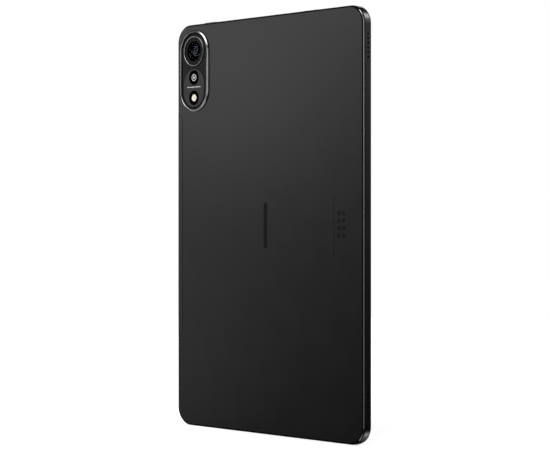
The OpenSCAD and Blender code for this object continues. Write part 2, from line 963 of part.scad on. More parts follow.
side_frame();
rear_cover();
rear_adhesive();
antenna_window();
heat_spreader();
cover_glass();
display_gasket();
bezel_print();
lcd_panel();
backlight_unit();
display_driver_board();
display_flex();
mid_plate();
mid_plate_screws();
battery_cell_left();
battery_cell_right();
battery_tape();
battery_board();
battery_wiring();
mainboard();
board_screws();
processor();
board_chips();
shield_cans();
board_connectors();
sim_socket();
sim_tray();
tray_seal();
eject_rod();
camera_rim();
camera_window();
camera_plateau();
camera_bracket();
lens_ring();
lens_cover();
lens_baffle();
camera_module();
image_sensor();
lens_barrel();
lens_elements();
sensor_window();
flash_window();
flash_led();
flash_board();
front_camera();
light_sensor();
speaker_box_top();
speaker_box_bottom();
speaker_drivers();
speaker_meshes();
usb_board();
usb_socket();
usb_tongue();
main_flex();
button_switches();
button_brackets();
power_button();
volume_rocker();
microphones();
antenna_film();
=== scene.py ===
import json
import math

import bmesh
import bpy
from mathutils import Matrix, Vector
from mathutils.geometry import tessellate_polygon


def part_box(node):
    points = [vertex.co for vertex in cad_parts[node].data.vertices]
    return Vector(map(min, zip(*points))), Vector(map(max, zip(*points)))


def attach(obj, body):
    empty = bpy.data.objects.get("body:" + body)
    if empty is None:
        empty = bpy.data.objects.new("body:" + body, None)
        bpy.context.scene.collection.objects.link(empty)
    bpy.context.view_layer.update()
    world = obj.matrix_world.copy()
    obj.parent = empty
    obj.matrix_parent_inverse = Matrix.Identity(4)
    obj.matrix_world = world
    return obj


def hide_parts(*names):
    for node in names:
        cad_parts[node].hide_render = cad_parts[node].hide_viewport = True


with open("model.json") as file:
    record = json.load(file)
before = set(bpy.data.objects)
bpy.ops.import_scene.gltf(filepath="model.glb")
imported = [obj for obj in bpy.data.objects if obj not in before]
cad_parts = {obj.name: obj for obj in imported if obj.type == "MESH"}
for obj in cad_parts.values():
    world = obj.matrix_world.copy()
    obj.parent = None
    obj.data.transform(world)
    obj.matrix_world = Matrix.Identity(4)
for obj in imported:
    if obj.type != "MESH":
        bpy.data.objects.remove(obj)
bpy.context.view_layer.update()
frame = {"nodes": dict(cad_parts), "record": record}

MM = 0.001
HOUSING = "housing"


# ---- Shapes in millimetres: loops are lists of (x, z), rings are lists of (x, y, z) ----


def box_mm(node):
    """The node's lowest and highest corners, and its middle."""
    lo, hi = (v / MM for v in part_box(node))
    return lo, hi, (lo + hi) / 2


def arc(cx, cz, r, a0, a1, n):
    angles = [math.radians(a0 + (a1 - a0) * i / n) for i in range(n + 1)]
    return [(cx + r * math.cos(a), cz + r * math.sin(a)) for a in angles]


def circle(cx, cz, r, n=96):
    return arc(cx, cz, r, 0, 360, n)[:-1]


def rounded(cx, cz, w, h, r, n=24):
    x, z = w / 2 - r, h / 2 - r
    loop = []
    for k, (sx, sz) in enumerate([(1, 1), (-1, 1), (-1, -1), (1, -1)]):
        loop += arc(cx + sx * x, cz + sz * z, r, 90 * k, 90 * k + 90, n)
    return loop


def pill(cx, cz, w, h, n=48):
    """A pill that is w across and h long; its long way is z when h is over w, and x otherwise."""
    r = min(w, h) / 2
    if h >= w:
        run = (h - w) / 2
        return arc(cx, cz + run, r, 0, 180, n) + arc(cx, cz - run, r, 180, 360, n)
    run = (w - h) / 2
    return arc(cx + run, cz, r, -90, 90, n) + arc(cx - run, cz, r, 90, 270, n)


def offset(loop, d):
    """Moves a loop outward by d."""
    area = sum(a[0] * b[1] - b[0] * a[1] for a, b in zip(loop, loop[1:] + loop[:1]))
    side = 1 if area > 0 else -1
    out = []
    for i, p in enumerate(loop):
        before, after = Vector(loop[i - 1]), Vector(loop[(i + 1) % len(loop)])
        e1, e2 = (Vector(p) - before).normalized(), (after - Vector(p)).normalized()
        n1, n2 = Vector((e1.y, -e1.x)) * side, Vector((e2.y, -e2.x)) * side
        q = Vector(p) + (n1 + n2) / max(0.3, 1 + n1.dot(n2)) * d
        out.append((q.x, q.y))
    return out


def soften(points, amount, closed=True, n=3):
    """Rounds a profile's corners. A point may carry its own amount as a third number."""
    out = []
    for i, p in enumerate(points):
        a = p[2] if len(p) > 2 else amount
        if a == 0 or (not closed and i in (0, len(points) - 1)):
            out.append((p[0], p[1]))
            continue
        here = Vector(p[:2])
        before, after = Vector(points[i - 1][:2]), Vector(points[(i + 1) % len(points)][:2])
        a1 = min(a, (before - here).length * 0.45)
        a2 = min(a, (after - here).length * 0.45)
        q0, q1 = here + (before - here).normalized() * a1, here + (after - here).normalized() * a2
        for k in range(n + 1):
            t = k / n
            q = q0 * (1 - t) ** 2 + here * 2 * t * (1 - t) + q1 * t * t
            out.append((q.x, q.y))
    return out


class Build:
    """Collects vertices and faces, and turns them into one piece."""

    def __init__(self):
        self.verts, self.faces, self.mats = [], [], []

    def ring(self, points):
        start = len(self.verts)
        self.verts += [tuple(p) for p in points]
        return list(range(start, len(self.verts)))

    def strip(self, a, b, mat=0):
        n = len(a)
        for i in range(n):
            j = (i + 1) % n
            self.faces.append((a[i], a[j], b[j], b[i]))
            self.mats.append(mat)

    def cap(self, rings, mat=0):
        """A flat face bounded by the first ring, with the other rings as holes in it."""
        index = [i for r in rings for i in r]
        lines = [[Vector(self.verts[i]) for i in r] for r in rings]
        for tri in tessellate_polygon(lines):
            self.faces.append(tuple(index[k] for k in tri))
            self.mats.append(mat)

    def loft(self, rings, closed=False, caps=True, mats=None):
        made = [self.ring(r) for r in rings]
        pairs = list(zip(made, made[1:])) + ([(made[-1], made[0])] if closed else [])
        for k, (a, b) in enumerate(pairs):
            self.strip(a, b, mats[k] if mats else 0)
        if caps and not closed:
            self.cap([made[0]])
            self.cap([made[-1]])

    def slab(self, outer, holes, y0, y1, soft=0.08, steps=3, edge=0, run=None):
        """A plate between y0 and y1 with rounded edges.

        The outer edge may have a material of its own, and may run further in than soft.
        """
        wider = (run or soft) / soft
        levels = []
        for k in range(steps + 1):
            a = math.radians(90 * k / steps)
            levels.append((soft * (1 - math.sin(a)), y0 + soft * (1 - math.cos(a))))
        levels += [(d, y0 + y1 - y) for d, y in reversed(levels)]
        bottoms, tops = [], []
        for loop, sign in [(outer, -1)] + [(h, 1) for h in holes]:
            rings = [
                self.ring([(x, y, z) for x, z in offset(loop, sign * d * (wider if sign < 0 else 1))])
                for d, y in levels
            ]
            for a, b in zip(rings, rings[1:]):
                self.strip(a, b, edge if sign < 0 else 0)
            bottoms.append(rings[0])
            tops.append(rings[-1])
        self.cap(bottoms)
        self.cap(tops)

    def piece(self, name, materials, sharp=32):
        mesh = bpy.data.meshes.new(name)
        mesh.from_pydata([Vector(v) * MM for v in self.verts], [], self.faces)
        for p, m in zip(mesh.polygons, self.mats):
            p.material_index = m
        bm = bmesh.new()
        bm.from_mesh(mesh)
        bmesh.ops.remove_doubles(bm, verts=bm.verts, dist=1e-7)
        bmesh.ops.recalc_face_normals(bm, faces=bm.faces)
        bm.to_mesh(mesh)
        bm.free()
        obj = bpy.data.objects.new(name, mesh)
        bpy.context.scene.collection.objects.link(obj)
        for m in materials if isinstance(materials, (list, tuple)) else [materials]:
            mesh.materials.append(m)
        shade(obj, sharp)
        return obj


def shade(obj, sharp=32):
    for p in obj.data.polygons:
        p.use_smooth = True
    obj.data.set_sharp_from_angle(angle=math.radians(sharp))
    normals = obj.modifiers.new("normals", "WEIGHTED_NORMAL")
    normals.keep_sharp = True
    normals.weight = 60


def place(obj, slot, body=HOUSING, *nodes):
    """Puts a piece on its body and hides the CAD nodes that it stands for; the slot is not used."""
    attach(obj, body)
    if nodes:
        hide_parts(*nodes)
    return obj


def revolve(build, cx, cz, profile, closed=True, n=96, mats=None):
    """Turns a profile of (radius, y) about an axis along Y."""
    build.loft(
        [[(x, y, z) for x, z in circle(cx, cz, r, n)] for r, y in profile],
        closed=closed, mats=mats,
    )


def carved(obj, cutter):
    """Cuts one mesh out of another for good."""
    cut = obj.modifiers.new("cut", "BOOLEAN")
    cut.operation, cut.solver, cut.object = "DIFFERENCE", "EXACT", cutter
    for m in list(obj.modifiers):
        if m.name == "normals":
            obj.modifiers.remove(m)
    graph = bpy.context.evaluated_depsgraph_get()
    mesh = bpy.data.meshes.new_from_object(obj.evaluated_get(graph))
    obj.modifiers.clear()
    obj.data = mesh
    bpy.data.objects.remove(cutter)
    shade(obj)
    return obj


# ---- Materials ----


def linear(srgb):
    c = srgb / 255
    return c / 12.92 if c <= 0.04045 else ((c + 0.055) / 1.055) ** 2.4


class Nodes:
    """A small helper that adds and links shader nodes."""

    def __init__(self, tree):
        self.tree = tree

    def add(self, kind, inputs=None, **props):
        node = self.tree.nodes.new(kind)
        for k, v in props.items():
            setattr(node, k, v)
        for k, v in (inputs or {}).items():
            self.set(node.inputs[k], v)
        return node

    def set(self, socket, value):
        if isinstance(value, bpy.types.NodeSocket):
            self.tree.links.new(value, socket)
        else:
            socket.default_value = value

    def math(self, op, a, b=0.0, c=0.0):
        node = self.add("ShaderNodeMath", operation=op)
        for socket, v in zip(node.inputs, (a, b, c)):
            self.set(socket, v)
        return node.outputs[0]

    def vector(self, op, a, b=(0, 0, 0)):
        node = self.add("ShaderNodeVectorMath", operation=op)
        self.set(node.inputs[0], a)
        self.set(node.inputs[1], b)
        return node.outputs["Value" if op in ("DOT_PRODUCT", "LENGTH") else "Vector"]

    def noise(self, where, scale, detail=4, rough=0.5):
        node = self.add(
            "ShaderNodeTexNoise",
            {"Vector": where, "Scale": scale, "Detail": detail, "Roughness": rough},
        )
        return node.outputs["Fac"]

    def ranged(self, value, a, b, low=0.0, high=1.0, smooth=False):
        node = self.add(
            "ShaderNodeMapRange",
            {"Value": value, "From Min": low, "From Max": high, "To Min": a, "To Max": b},
            interpolation_type="SMOOTHSTEP" if smooth else "LINEAR",
        )
        return node.outputs["Result"]

    def mix(self, fac, a, b):
        node = self.add("ShaderNodeMix", data_type="RGBA")
        for socket, v in zip((node.inputs[0], node.inputs[6], node.inputs[7]), (fac, a, b)):
            self.set(socket, v)
        return node.outputs[2]


MATERIALS = {}


def material(
    name, color, rough, metallic=0.0, grain=0.3, bump=0.02, vary=0.08, rough_vary=0.06,
    patch=18.0, stretch=(1, 1, 1), turn=0.0, pattern=None, second=None, coat=0.0,
    coat_rough=0.05, transmission=0.0, ior=1.5, specular=0.5, sheen=0.0, anisotropic=0.0,
    alpha=1.0, depth=0.01,
):
    """A node material: fine grain for bump, broad patches for colour and roughness."""
    mat = bpy.data.materials.new(name)
    mat.use_nodes = True
    mat.node_tree.nodes.clear()
    n = Nodes(mat.node_tree)
    where = n.add("ShaderNodeTexCoord").outputs["Object"]
    if turn:
        where = n.add("ShaderNodeMapping", {"Vector": where, "Rotation": (0, turn, 0)}).outputs[0]
    fine_at = n.vector("MULTIPLY", where, stretch) if tuple(stretch) != (1, 1, 1) else where
    fine = n.noise(fine_at, 1000 / grain, 3, 0.6)
    broad = n.noise(where, 1000 / patch, 4, 0.55)
    dark = tuple(c * (1 - vary) for c in color) + (1,)
    light = tuple(c * (1 + vary) for c in color) + (1,)
    base = n.mix(n.ranged(broad, 0, 1, 0.3, 0.7), dark, light)
    height = fine
    if pattern:
        mask = pattern(n, where)
        base = n.mix(mask, base, tuple(second or color) + (1,))
        height = n.math("ADD", fine, n.math("MULTIPLY", mask, 3.0))
    base = n.mix(n.ranged(fine, 0, 0.25 * vary / 0.08, 0.3, 0.7), base, light)
    both = n.math("ADD", n.math("MULTIPLY", broad, 0.6), n.math("MULTIPLY", fine, 0.4))
    roughness = n.ranged(both, max(0.0, rough - rough_vary), rough + rough_vary, 0.3, 0.7)
    relief = n.add(
        "ShaderNodeBump", {"Height": height, "Strength": bump, "Distance": depth * MM}
    ).outputs[0]
    shader = n.add(
        "ShaderNodeBsdfPrincipled",
        {
            "Base Color": base, "Roughness": roughness, "Metallic": metallic, "IOR": ior,
            "Normal": relief, "Coat Weight": coat, "Coat Roughness": coat_rough,
            "Transmission Weight": transmission, "Specular IOR Level": specular,
            "Sheen Weight": sheen, "Anisotropic": anisotropic, "Alpha": alpha,
        },
    )
    out = n.add("ShaderNodeOutputMaterial")
    n.tree.links.new(shader.outputs[0], out.inputs["Surface"])
    MATERIALS[name] = mat
    return mat


def cells(size, edge):
    """A pattern of cells, size in millimetres."""

    def make(n, where):
        node = n.add(
            "ShaderNodeTexVoronoi", {"Vector": where, "Scale": 1000 / size},
            feature="DISTANCE_TO_EDGE",
        )
        return n.ranged(node.outputs["Distance"], 1, 0, edge * 0.5, edge)

    return make


def weave(pitch, duty=0.5):
    """Two crossing sets of threads, pitch in millimetres."""

    def make(n, where):
        parts = n.add("ShaderNodeSeparateXYZ", {"Vector": where})
        waves = [
            n.math("SINE", n.math("MULTIPLY", parts.outputs[k], 2 * math.pi * 1000 / pitch))
            for k in (1, 2)
        ]
        return n.ranged(n.math("MAXIMUM", *waves), 0, 1, 1 - duty, 1)

    return make


def stripes(axis, pitch, duty=0.5):
    def make(n, where):
        part = n.add("ShaderNodeSeparateXYZ", {"Vector": where}).outputs[axis]
        wave = n.math("SINE", n.math("MULTIPLY", part, 2 * math.pi * 1000 / pitch))
        return n.ranged(wave, 0, 1, 1 - 2 * duty, 1 - 2 * duty + 0.3)

    return make


def turned(node, pitch):
    """Fine lathe marks round the middle of a node."""
    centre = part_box(node)
    middle = (centre[0] + centre[1]) / 2

    def make(n, where):
        out = n.vector("MULTIPLY", n.vector("SUBTRACT", where, tuple(middle)), (1, 0, 1))
        wave = n.math(
            "SINE", n.math("MULTIPLY", n.vector("LENGTH", out), 2 * math.pi * 1000 / pitch)
        )
        return n.ranged(wave, 0, 1, -1, 1)

    return make


def grey(srgb, tint=(1, 1, 1)):
    v = linear(srgb)
    return tuple(v * t for t in tint)


anodised = dict(metallic=1.0, grain=0.22, bump=0.25, vary=0.05, rough_vary=0.03, depth=0.004)
material("anodised_cover", grey(62), 0.42, **anodised)
material("anodised_frame", grey(58), 0.3, **anodised)
material(
    "polished_edge", (0.40, 0.40, 0.41), 0.16, metallic=1.0, grain=0.12, bump=0.05, vary=0.04,
    rough_vary=0.04, depth=0.002,
)
# dark metal painted onto the chamfer near the short ends as shade
material("chamfer_painted_shade", (0.012, 0.012, 0.012), 0.35, metallic=1.0, grain=0.2, bump=0.1, depth=0.002)
# near-black matte painted shade for the frame's groove and holes, the cover's edge and the island's outer
# wall; also the lens baffle's own black
material("painted_shade_and_baffle_black", (0.003, 0.003, 0.003), 0.9, grain=0.3, bump=0.2, specular=0.1)
material(
    "antenna_plastic", grey(58), 0.44, metallic=0.75, grain=0.25, bump=0.3, vary=0.05,
    depth=0.004,
)
material(
    "island_metal", (0.42, 0.42, 0.43), 0.2, metallic=1.0, grain=0.15, bump=0.08, vary=0.05,
    stretch=(1, 6, 1), depth=0.002,
)
material("island_wall", (0.009, 0.009, 0.009), 0.35, metallic=1.0, grain=0.2, bump=0.2, depth=0.003)
material(
    "island_glass", (0.004, 0.004, 0.004), 0.14, grain=0.8, bump=0.01, patch=9, rough_vary=0.03,
    specular=0.05,
)
material(
    "plateau_metal", (0.03, 0.03, 0.031), 0.34, metallic=1.0, grain=0.35, bump=0.5, vary=0.12,
    stretch=(8, 1, 0.6), turn=math.radians(40), depth=0.004, anisotropic=0.4,
)
material(
    "ring_metal", (0.26, 0.26, 0.26), 0.2, metallic=1.0, grain=0.2, bump=0.12, vary=0.05,
    pattern=turned("lens_ring", 0.16), second=(0.22, 0.22, 0.22), depth=0.002,
)
material(
    "lens_glass", (0.86, 0.9, 1.0), 0.02, transmission=1.0, grain=1.5, bump=0.0, vary=0.02,
    rough_vary=0.01, ior=1.04,
)
material(
    "lens_coating", (0.014, 0.022, 0.031), 0.35, metallic=0.7, grain=1.0, bump=0.01, vary=0.1,
    patch=1.5, rough_vary=0.03,
)
material(
    "window_black", (0.002, 0.002, 0.002), 0.3, grain=0.8, bump=0.01, patch=6, rough_vary=0.03,
    specular=0.0,
)
material(
    "led_lens", (0.98, 0.93, 0.78), 0.3, grain=0.25, bump=0.2, patch=1.6, vary=0.12,
    pattern=cells(0.45, 0.08), second=(1.0, 0.97, 0.88), coat=0.8,
)
material(
    "screen_glass", (0.93, 0.95, 0.96), 0.02, transmission=1.0, grain=2.0, bump=0.0, patch=40,
    vary=0.02, rough_vary=0.015,
)
material("black_print", (0.004, 0.004, 0.004), 0.5, grain=0.3, bump=0.05)
material(
    "lcd_glass", (0.012, 0.013, 0.016), 0.16, grain=0.4, bump=0.01, patch=60,
    pattern=stripes(0, 0.12, 0.4), second=(0.016, 0.018, 0.022),
)
material("white_plastic", (0.8, 0.8, 0.78), 0.5, grain=0.5, bump=0.05)
material(
    "black_foam", (0.02, 0.02, 0.02), 0.9, grain=0.35, bump=0.8, pattern=cells(0.4, 0.2),
    second=(0.03, 0.03, 0.03), depth=0.03,
)
material(
    "graphite", (0.06, 0.06, 0.065), 0.5, metallic=0.4, grain=0.6, bump=0.3, patch=12, vary=0.2,
)
material(
    "circuit_board", (0.02, 0.12, 0.06), 0.4, grain=0.5, bump=0.15, patch=10, coat=0.4,
    pattern=cells(1.6, 0.06), second=(0.05, 0.22, 0.11), depth=0.02,
)
material(
    "flex_film", (0.42, 0.2, 0.05), 0.35, grain=0.5, bump=0.1, pattern=stripes(0, 0.5, 0.4),
    second=(0.5, 0.27, 0.09), coat=0.3, depth=0.02,
)
material(
    "plain_aluminium", (0.6, 0.61, 0.62), 0.35, metallic=1.0, grain=0.3, bump=0.2,
    stretch=(1, 1, 12), depth=0.004,
)
material("screw_steel", (0.6, 0.6, 0.6), 0.25, metallic=1.0, grain=0.2, bump=0.15, depth=0.004)
material(
    "shield_steel", (0.62, 0.63, 0.64), 0.32, metallic=1.0, grain=0.3, bump=0.2,
    stretch=(10, 1, 1), depth=0.004,
)
material(
    "battery_pouch", (0.05, 0.052, 0.058), 0.42, metallic=0.3, grain=1.4, bump=0.5, patch=14,
    vary=0.15, depth=0.05,
)
material(
    "white_tape", (0.85, 0.85, 0.85), 0.55, grain=0.4, bump=0.3, pattern=weave(0.5, 0.4),
    second=(0.78, 0.78, 0.78),
)
material("chip_black", (0.02, 0.02, 0.022), 0.5, grain=0.2, bump=0.3, depth=0.006)
material("module_black", (0.018, 0.018, 0.02), 0.45, grain=0.25, bump=0.3, depth=0.006)
material("connector_plastic", (0.7, 0.68, 0.6), 0.5, grain=0.3, bump=0.15)
material(
    "sensor_silicon", (0.08, 0.14, 0.18), 0.12, grain=0.3, bump=0.02, coat=1.0,
    pattern=stripes(0, 0.1, 0.5), second=(0.12, 0.1, 0.2),
)
material("speaker_metal", (0.3, 0.3, 0.31), 0.35, metallic=1.0, grain=0.3, bump=0.2, depth=0.004)
material(
    "mesh_black", (0.012, 0.012, 0.012), 0.7, grain=0.2, bump=0.6, pattern=weave(0.12, 0.5),
    second=(0.03, 0.03, 0.03), depth=0.02,
)
material("contact_gold", (0.8, 0.56, 0.22), 0.22, metallic=1.0, grain=0.2, bump=0.1, depth=0.003)
material("red_rubber", (0.5, 0.08, 0.05), 0.6, grain=0.3, bump=0.2)
material("ink_dark", (0.003, 0.003, 0.003), 0.5, grain=0.2, bump=0.1, specular=0.15)
material("ink_faint", (0.004, 0.004, 0.004), 0.5, grain=0.2, bump=0.1, specular=0.2)
material("ink_white", (0.85, 0.85, 0.85), 0.5, grain=0.2, bump=0.05, vary=0.04)

# every CAD node takes its slot's material; the rebuilt ones are hidden further down
for part in frame["record"]["subparts"]:
    node = frame["nodes"][part["node"]]
    node.data.materials.clear()
    node.data.materials.append(MATERIALS[part["material_slot"]])


# ---- Camera, light and floor ----

VIEW_DIRECTION = Vector((0.7251, -0.6886, 0.0))
CAMERA_AT = (-0.8584, 0.8102, 0.138)
LENS_MM = 117.1
SENSOR_MM = 36.0


def make_camera():
    data = bpy.data.cameras.new("camera")
    data.lens, data.sensor_width = LENS_MM, SENSOR_MM
    data.clip_start, data.clip_end = 0.05, 20
    camera = bpy.data.objects.new("camera", data)
    bpy.context.scene.collection.objects.link(camera)
    camera.location = CAMERA_AT
    camera.rotation_euler = VIEW_DIRECTION.to_track_quat("-Z", "Y").to_euler()
    bpy.context.scene.camera = camera


# Each soft glow in the sky as direction, inner and outer half-angle in degrees, and strength
LIGHTS = [
    ((-0.7, 0.7, 0.35), 4, 22, 0.8),
    ((-0.7, 0.7, 0.0), 4, 22, 0.25),
    ((-0.6, -0.75, 0.45), 4, 26, 1.75),
    ((-0.4, -0.7, 0.6), 3, 12, 14.0),
    ((-0.4, -0.7, -0.6), 3, 12, 6.0),
    ((-0.1, -0.7, -0.7), 8, 20, 0.75),
    ((0.4, 0.7, 0.6), 4, 20, 1.0),
    ((-0.1, 0.6, 0.8), 12, 27, 2.75),
    ((0.0, 0.65, -0.75), 14, 34, 0.75),
    ((-0.2, 1.0, 0.0), 4, 16, 0.75),
    ((0.75, 0.6, 0.1), 4, 14, 0.25),
    ((0.6, -0.75, 0.2), 8, 24, 2.25),
    ((0.9, -0.4, 0.4), 5, 22, 1.0),
    ((0.15, -1.0, 0.2), 2, 24, 0.5),
    ((-1.0, 0.0, 0.1), 4, 18, 2.25),
    ((1.0, 0.0, 0.1), 4, 18, 2.25),
]
AMBIENT = 0.015
# Each round soft box near the back as place, power in watts; all face the tablet's middle
SOFT_BOXES = [
    ((0.27, 0.13, 0.06), 0.05),
    ((0.1, 0.22, 0.4), 0.25),
    ((0.36, 0.3, 0.28), 0.25),
]
BOX_SIZE = 0.22
TABLET_MIDDLE = Vector((0, 0, 0.14))


def make_world():
    world = bpy.data.worlds.new("studio")
    bpy.context.scene.world = world
    world.use_nodes = True
    world.node_tree.nodes.clear()
    n = Nodes(world.node_tree)
    way = n.vector("NORMALIZE", n.add("ShaderNodeTexCoord").outputs["Generated"])
    total = AMBIENT

    def lobe(direction, inner, outer):
        along = n.vector("DOT_PRODUCT", way, tuple(Vector(direction).normalized()))
        low, high = math.cos(math.radians(outer)), math.cos(math.radians(inner))
        return n.ranged(along, 0, 1, low, high, smooth=True)

    for direction, inner, outer, gain in LIGHTS:
        total = n.math("MULTIPLY_ADD", lobe(direction, inner, outer), gain, total)
    seen = n.add("ShaderNodeLightPath").outputs["Is Camera Ray"]
    studio = n.add("ShaderNodeBackground", {"Color": total})
    plain = n.add("ShaderNodeBackground", {"Color": (1, 1, 1, 1), "Strength": 1.0})
    both = n.add("ShaderNodeMixShader", {0: seen, 1: studio.outputs[0], 2: plain.outputs[0]})
    out = n.add("ShaderNodeOutputWorld")
    n.tree.links.new(both.outputs[0], out.inputs["Surface"])


def make_floor():
    mat = bpy.data.materials.new("floor")
    mat.use_nodes = True
    shader = mat.node_tree.nodes["Principled BSDF"]
    shader.inputs["Base Color"].default_value = (0.9, 0.9, 0.9, 1)
    shader.inputs["Roughness"].default_value = 0.9
    shader.inputs["Emission Color"].default_value = (1, 1, 1, 1)
    shader.inputs["Emission Strength"].default_value = 0.55
    build = Build()
    radius, depth, below = 1500, 4, 0.01
    build.slab(circle(0, 0, radius, 128), [], -depth, -below, soft=1)
    floor = build.piece("floor", mat)
    floor.data.transform(Matrix.Rotation(math.radians(90), 4, "X"))
    floor.visible_glossy = floor.visible_diffuse = floor.visible_transmission = False


def make_lights():
    for i, (place_at, watts) in enumerate(SOFT_BOXES):
        data = bpy.data.lights.new(f"soft_box_{i}", "AREA")
        data.shape, data.size, data.energy = "DISK", BOX_SIZE, watts
        light = bpy.data.objects.new(data.name, data)
        bpy.context.scene.collection.objects.link(light)
        light.location = place_at
        aim = TABLET_MIDDLE - Vector(place_at)
        light.rotation_euler = aim.to_track_quat("-Z", "Y").to_euler()
        light.visible_camera = False


make_camera()
make_world()
make_lights()
make_floor()
bpy.context.scene.view_settings.view_transform = "Standard"

# ---- Frame ----

frame_lo, frame_hi, frame_mid = box_mm("side_frame")
BODY_W, BODY_H = frame_hi.x - frame_lo.x, frame_hi.z - frame_lo.z
BACK_Y, FRONT_Y = box_mm("rear_cover")[1].y, frame_lo.y
LIP_Y = frame_hi.y  # the frame's lip lies a little below the back
CORNER_R = 12.0
EDGE_IN = box_mm("rear_cover")[1].x  # the cover's edge


def body_loop(inset, n=28):
    return rounded(0, frame_mid.z, BODY_W - 2 * inset, BODY_H - 2 * inset, CORNER_R - inset, n)


def prism(build, loop, axis, stations):
    """A closed prism of a loop along x or z, through stations of (position, offset)."""
    rings = []
    for at, grow in stations:
        ring = offset(loop, grow)
        rings.append([(at, a, b) if axis == "x" else (a, b, at) for a, b in ring])
    build.loft(rings)


def through(build, loop, axis, face, inward, depth=5.0, lip=0.1):
    """A hole with a small countersink, cut in from a face. inward is 1 or -1."""
    stations = [
        (face - inward * 0.5, lip + 0.02), (face, lip), (face + inward * lip, 0),
        (face + inward * depth, 0),
    ]
    prism(build, loop, axis, stations)


# The frame's faces by finish, with painted shade on the groove and the chamfer's ends, in the order of its
# materials
BAND, POLISHED, PAINTED_SHADE, CHAMFER_SHADE = range(4)
CHAMFER_START, CHAMFER_END, CHAMFER_DROP = 0.25, 0.55, 0.32
GROOVE_IN, GROOVE_FLOOR_Y = 0.72, 2.72
GROOVE_ABOVE_Y = 2.0  # further in than the chamfer and above this, the frame's groove is painted black as shade
CHAMFER_SHADE_END = 3.5  # the chamfer is painted dark as shade this near to the short ends


def make_frame():
    f, b = FRONT_Y, LIP_Y
    profile = soften(
        [
            (0.3, f, 0.05), (0, f + 1.0, 0.6), (0, b - 1.35, 0.4),
            (CHAMFER_START, b - CHAMFER_DROP, 0.04), (CHAMFER_END, b, 0.02),
            (0.66, b - 0.01, 0.01), (GROOVE_IN, GROOVE_FLOOR_Y, 0), (2.8, GROOVE_FLOOR_Y, 0),
            (2.8, 2.05, 0), (1.8, 2.05, 0), (1.8, -2.2, 0),
            (2.4, -2.2, 0), (2.4, -3.0, 0), (0.6, -3.0, 0), (0.6, f, 0.03),
        ],
        0.08,
    )
    # chamfer faces are polished; groove faces take black as painted shade
    faces = []
    for (s0, y0), (s1, y1) in zip(profile, profile[1:] + profile[:1]):
        y, s = (y0 + y1) / 2, (s0 + s1) / 2
        if y > b - CHAMFER_DROP - 0.01 and s < CHAMFER_END + 0.01:
            faces.append(POLISHED)
        elif s > CHAMFER_END and y > GROOVE_ABOVE_Y:
            faces.append(PAINTED_SHADE)
        else:
            faces.append(BAND)
    build = Build()
    rings = [[(x, y, z) for x, z in body_loop(s)] for s, y in profile]
    build.loft(rings, closed=True, mats=faces)
    # near the short ends the chamfer takes dark metal as painted shade
    for i, face in enumerate(build.faces):
        height = sum(build.verts[k][2] for k in face) / len(face)
        if build.mats[i] == POLISHED and not CHAMFER_SHADE_END < height < frame_hi.z - CHAMFER_SHADE_END:
            build.mats[i] = CHAMFER_SHADE
    face_materials = [
        MATERIALS[k] for k in ("anodised_frame", "polished_edge", "painted_shade_and_baffle_black", "chamfer_painted_shade")
    ]
    shell = build.piece("frame_shell", face_materials)

    cut = Build()
    right, left, top = frame_hi.x, frame_lo.x, frame_hi.z
    for z in speaker_holes():
        through(cut, circle(SPEAKER_Y, z, SPEAKER_R, 32), "x", left, 1, 3.2, 0.05)
    key = box_mm("volume_rocker")
    through(cut, pill(0, key[2].z, 2.8, 24.0, 20), "x", right, -1, 3.2)
    key = box_mm("power_button")
    through(cut, pill(key[2].x, 0, 12.6, 2.8, 20), "z", top, -1, 3.2)
    tray = box_mm("sim_tray")
    through(cut, pill(tray[2].x, 1.25, 14.3, 1.9, 20), "z", top, -1, 3.2, 0.06)
    rod = box_mm("eject_rod")
    through(cut, circle(rod[2].x, rod[2].y, 0.45, 24), "z", top, -1, 3.2, 0.06)
    through(cut, circle(10, 0.5, 0.4, 24), "z", top, -1, 3.2, 0.06)
    through(cut, circle(18, 0.5, 0.4, 24), "z", frame_lo.z, 1, 3.2, 0.06)
    port = box_mm("usb_socket")
    through(cut, pill(port[2].x, PORT_Y, 9.14, 3.36, 24), "z", frame_lo.z, 1, 3.2, 0.15)
    # every hole's walls are painted black as shade
    cut.mats = [PAINTED_SHADE] * len(cut.faces)
    cutter = cut.piece("cutter", face_materials)
    cutter.modifiers.clear()
    carved(shell, cutter)
    place(shell, "anodised_frame", HOUSING, "side_frame")


SPEAKER_Y = -0.65
SPEAKER_PITCH = 2.89
SPEAKER_R = 0.675
PORT_Y = 0.6


def speaker_holes():
    top_row = frame_hi.z - 18.5
    row = [top_row - i * SPEAKER_PITCH for i in range(6)]
    return row + [frame_hi.z - z for z in row]


make_frame()

# ---- Back ----

rim_lo, rim_hi, ISLAND = box_mm("camera_rim")
ISLAND_W, ISLAND_H = rim_hi.x - rim_lo.x - 1.6, rim_hi.z - rim_lo.z - 1.6
ISLAND_RUN = ISLAND_H - ISLAND_W
PANEL_Y = box_mm("rear_cover")[0].y


def strip_side(grow=0.0):
    """The insert strip's inner side as a list of points, from its lower to its upper end."""
    lo, hi, _ = box_mm("antenna_window")
    r = hi.x - lo.x
    lower = arc(hi.x, lo.z + r, r, 270, 180, 16)
    upper = arc(hi.x, hi.z - r, r, 180, 90, 16)
    return [(x - grow if 0 < i < 33 else x, z) for i, (x, z) in enumerate(lower + upper)]


def panel_loop():
    """The cover's outline, with the notch for the insert strip in its right side."""
    inset = frame_hi.x - EDGE_IN
    loop = body_loop(inset)
    low = [p for p in loop if p[1] < frame_mid.z]
    high = [p for p in loop if p[1] >= frame_mid.z]
    loop = low + strip_side(0.03) + high
    squeeze = 1 - COVER_SHORT / (frame_hi.z / 2)
    return [(x, frame_mid.z + (z - frame_mid.z) * squeeze) for x, z in loop]


COVER_SHORT = 0.2  # how far the cover ends short of its node at the top and the bottom
COVER_BEVEL = 0.4


